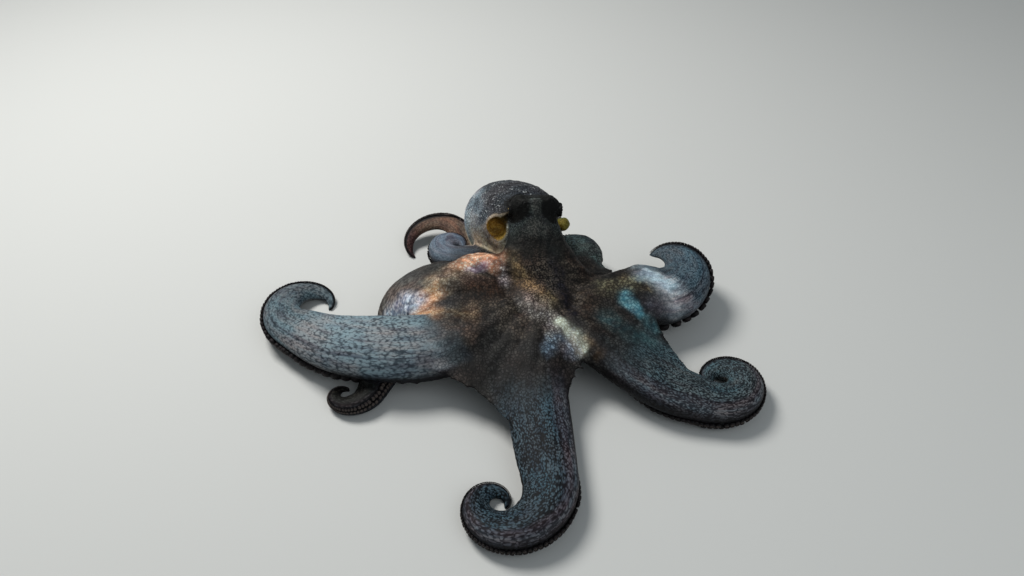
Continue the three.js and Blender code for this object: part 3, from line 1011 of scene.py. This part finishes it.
class ShaderBook:  # a material and a short way of adding nodes to it
    def __init__(self, name):
        self.material = bpy.data.materials.new(name)
        self.material.use_nodes = True
        self.tree = self.material.node_tree
        self.shader = next(n for n in self.tree.nodes if n.type == "BSDF_PRINCIPLED")

    def node(self, kind, settings=None, inputs=None, output=0):
        node = self.tree.nodes.new(kind)
        for key, value in (settings or {}).items():
            setattr(node, key, value)
        for key, value in (inputs or {}).items():
            self.put(node.inputs[key], value)
        return Value(self, node.outputs[output])

    def put(self, socket, value):
        if isinstance(value, Value):
            self.tree.links.new(value.socket, socket)
        elif isinstance(value, Vector):
            socket.default_value = (*value, 1) if socket.type == "RGBA" else tuple(value)
        else:
            socket.default_value = value

    def attribute(self, name, output):
        return self.node("ShaderNodeAttribute", {"attribute_name": name}, {}, output)

    def blend(self, a, b, share):
        return self.node("ShaderNodeMix", {"data_type": "RGBA"}, {0: share, 6: a, 7: b}, 2)

    def scaled(self, vector, *scale):
        return self.node("ShaderNodeVectorMath", {"operation": "MULTIPLY"}, {0: vector, 1: Vector(scale)})

    def shifted(self, vector, other):
        return self.node("ShaderNodeVectorMath", {"operation": "ADD"}, {0: vector, 1: other})

    def cloud(self, vector, scale, detail=3, roughness=0.55, output=0):
        return self.node("ShaderNodeTexNoise", {},
                         {"Vector": vector, "Scale": scale, "Detail": detail, "Roughness": roughness}, output)

    def cells(self, vector, scale, feature="F1", output=0):
        inputs = {"Vector": vector, "Scale": scale}
        if feature == "SMOOTH_F1":
            inputs["Smoothness"] = 0.35
        return self.node("ShaderNodeTexVoronoi", {"feature": feature}, inputs, output)

    def finish(self, **constants):
        for key, value in constants.items():
            self.put(self.shader.inputs[key.replace("_", " ")], value)
        return self.material


def mottle(book, vector, size, cover):  # soft pale flecks of a size in metres, and dark streaks between them
    drift = book.cloud(vector, 0.3 / size, 2, 0.5, 1)
    warped = book.shifted(vector, book.scaled(drift, *[size * 1.4] * 3))
    coarse = book.cloud(warped, 0.8 / size, 3, 0.6)
    cells = book.cells(warped, 1.0 / size, "SMOOTH_F1")
    patchy = book.cloud(vector, 0.1 / size, 3, 0.6)
    fine = book.cloud(vector, 1.6 / size, 2, 0.6)
    pale = coarse * 0.6 + fine * 0.4 + (0.45 - cells) * 0.8 + (patchy - 0.5) * 0.5 + (cover - 0.5) * 0.6
    pale = pale.step(0.3, 0.74)
    streaks = book.cloud(book.scaled(vector, 0.3, 1, 1), 0.3 / size, 3, 0.6)
    return pale, streaks.step(0.34, 0.54)


def crownMottle(book, here, vector, cover):  # cells of many shades, split by a fine dark net
    drift = book.cloud(here, 170, 2, 0.5, 1)
    warped = book.shifted(here, book.scaled(drift, 0.002, 0.002, 0.002))
    inside = book.cells(warped, 310, "DISTANCE_TO_EDGE").step(0.01, 0.24)
    shade = book.cells(warped, 310, "F1", 1).maths("ADD", 0.0)  # each cell's own colour, made grey
    patchy = book.cloud(vector, 75, 4, 0.66)
    pale = (shade * 0.6 + patchy * 1.5 + cover - 1.15).step(-0.15, 0.75) * (inside * 0.85 + 0.15)
    streaks = book.cloud(book.scaled(vector, 0.35, 1, 1), 150, 3, 0.6)
    return pale, streaks.step(0.34, 0.56)


def skinMaterial():
    book = ShaderBook("octopusSkin")
    here = book.node("ShaderNodeTexCoord", {}, {}, 3)
    onArm = book.attribute("onArm", 2)
    onCrown = book.attribute("onCrown", 2) * (1 - onArm)
    onBody = 1 - onArm - onCrown
    edge, cover = book.attribute("edge", 2), book.attribute("cover", 2)
    armSpace = book.scaled(book.attribute("armSpace", 1), 0.6, 1, 1)
    armPale, armStreak = mottle(book, armSpace, 0.002, cover)
    crownPale, crownStreak = crownMottle(book, here, book.attribute("crownSpace", 1), cover)
    bodyPale, bodyStreak = mottle(book, here, 0.0017, cover)
    pale = armPale * onArm + crownPale * onCrown + bodyPale * onBody
    streak = armStreak * onArm + crownStreak * onCrown + bodyStreak * onBody
    colour = book.blend(book.attribute("ground", 0), book.attribute("fleck", 0), pale)
    colour = book.blend(book.scaled(colour, 0.55, 0.53, 0.58), colour, streak)
    # the hue drifts from cool to warm, in long streaks on the arms
    streaky = book.cloud(book.scaled(armSpace, 0.15, 1, 1), 110, 3, 0.6).step(0.42, 0.64)
    warmth = book.cloud(here, 28, 3).step(0.38, 0.62) * 0.55 + streaky * onArm * 0.45
    cool = book.scaled(colour, 0.84, 1.0, 1.08)
    warm = book.scaled(colour, 1.2, 0.96, 0.92)
    colour = book.blend(cool, warm, warmth)
    # the groove along the top of an arm is a thin dark line
    groove = 1 - (edge - 0.42).maths("ABSOLUTE").step(0.01, 0.05)
    colour = book.blend(colour, book.scaled(colour, 0.35, 0.35, 0.4), groove * onArm * 0.8)
    # white specks on the mantle: painted glints of light
    glintSpeck = 1 - book.cells(here, 400, "F1").step(0.18, 0.36)
    rare = book.cloud(here, 90, 2).step(0.44, 0.62) * ((cover - 0.5).step(0.02, 0.1) * 0.85 + 0.03)
    colour = book.blend(colour, paint(226, 232, 234), glintSpeck * rare * onBody)
    grain = book.cloud(here, 1400, 2, 0.6)
    relief = pale * 0.6 + streak * 0.4 + grain * 0.25
    normal = book.node("ShaderNodeBump", {}, {"Strength": 0.6, "Distance": 0.0007, "Height": relief})
    return book.finish(Base_Color=colour, Roughness=0.5 + grain * 0.2, Normal=normal, Specular_IOR_Level=0.16)


def suckerMaterial():
    book = ShaderBook("suckerSkin")
    here = book.node("ShaderNodeTexCoord", {}, {}, 3)
    hollow = book.attribute("hollow", 2)
    spots = book.cloud(here, 220, 3)
    # near-black walls and dark cups: partly the suckers' own colour, partly painted shade
    wallAndShade = book.blend(paint(14, 12, 15), paint(40, 34, 36), spots.step(0.35, 0.7))
    cup = book.blend(paint(40, 34, 32), paint(74, 66, 62), spots.step(0.3, 0.7))
    cup = book.blend(cup, paint(80, 72, 68), book.attribute("pale", 2))
    colour = book.blend(wallAndShade, cup, hollow.step(0.3, 0.7))
    grain = book.cloud(here, 1500, 2)
    normal = book.node("ShaderNodeBump", {}, {"Strength": 0.4, "Distance": 0.0003, "Height": grain})
    return book.finish(Base_Color=colour, Roughness=0.45 + grain * 0.2, Normal=normal, Specular_IOR_Level=0.2)


def eyeMaterial(side):
    book = ShaderBook(f"eyeGold_{eyeSides[side]}")
    here = book.node("ShaderNodeTexCoord", {}, {}, 3)
    centred = book.shifted(here, -eyeMiddle(side))
    y, z = (book.node("ShaderNodeSeparateXYZ", {}, {"Vector": centred}, i) / mm for i in (1, 2))
    # the pupil is a level slit with round ends, a little thicker at them
    along = (y.maths("ABSOLUTE") - 2.4).maths("MAXIMUM", 0.0)
    thick = 0.75 + y.maths("ABSOLUTE") * 0.09
    far = (along * along + z * z).maths("SQRT") / thick
    pupil = 1 - far.step(0.85, 1.1)
    ring = (y * y + z * z).maths("SQRT")
    streaks = book.cloud(book.scaled(centred, 900, 900, 900), 1.0, 4, 0.65)
    iris = book.blend(paint(120, 92, 48), paint(214, 184, 116), streaks.step(0.35, 0.65))
    iris = book.blend(iris, paint(70, 50, 30), ring.step(3.6, 5.4))
    colour = book.blend(iris, paint(4, 4, 5), pupil)
    return book.finish(Base_Color=colour, Roughness=0.12, Coat_Weight=1.0, Coat_Roughness=0.04,
                       Specular_IOR_Level=0.6)


skin.data.materials.append(skinMaterial())
suckerSkin = suckerMaterial()
for piece in suckers:
    piece.data.materials.append(suckerSkin)
for side, eye in eyes.items():
    eye.data.materials.append(eyeMaterial(side))
print("materials made")

# every piece rides on the one body, and the skin and the eyes stand for the solids
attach(skin, "root")
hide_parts(*[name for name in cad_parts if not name.startswith("eye_")])
for piece in suckers:
    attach(piece, "root")
for side, eye in eyes.items():
    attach(eye, "root")
    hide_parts(f"eye_{eyeSides[side]}")


def makeFloor():
    bm = bmesh.new()
    bmesh.ops.create_grid(bm, x_segments=1, y_segments=1, size=6)
    floor = made(bm, "floor")
    book = ShaderBook("floorPaint")
    floor.data.materials.append(book.finish(Base_Color=Vector((0.62, 0.63, 0.62)), Roughness=0.85,
                                            Specular_IOR_Level=0.2))


def makeLamp(name, at, size, power, colour):  # aimed at the floor below the octopus
    light = bpy.data.lights.new(name, "AREA")
    light.shape = "DISK"
    light.size, light.energy, light.color = size, power, colour
    lamp = bpy.data.objects.new(name, light)
    lamp.location = at
    lamp.rotation_euler = (-Vector(at)).to_track_quat("-Z", "Y").to_euler()
    scene.collection.objects.link(lamp)


def makeCamera():
    camera = bpy.data.cameras.new("camera")
    camera.sensor_width = 36
    camera.lens = 28.125
    obj = bpy.data.objects.new("camera", camera)
    obj.location = spot(-30, -600, 600)
    obj.rotation_euler = (radians(48), 0, 0)
    scene.collection.objects.link(obj)
    scene.camera = obj


makeFloor()
makeLamp("key", (-0.75, 0.65, 1.4), 0.7, 25, (1.0, 0.98, 0.94))
makeLamp("fill", (0.9, -0.9, 1.2), 1.6, 5.5, (0.92, 0.97, 1.0))
world = bpy.data.worlds.new("studio")
world.use_nodes = True
sky = world.node_tree.nodes["Background"].inputs
sky["Color"].default_value = (0.82, 0.9, 0.95, 1)
sky["Strength"].default_value = 0.22
scene.world = world
scene.view_settings.view_transform = "Standard"
makeCamera()
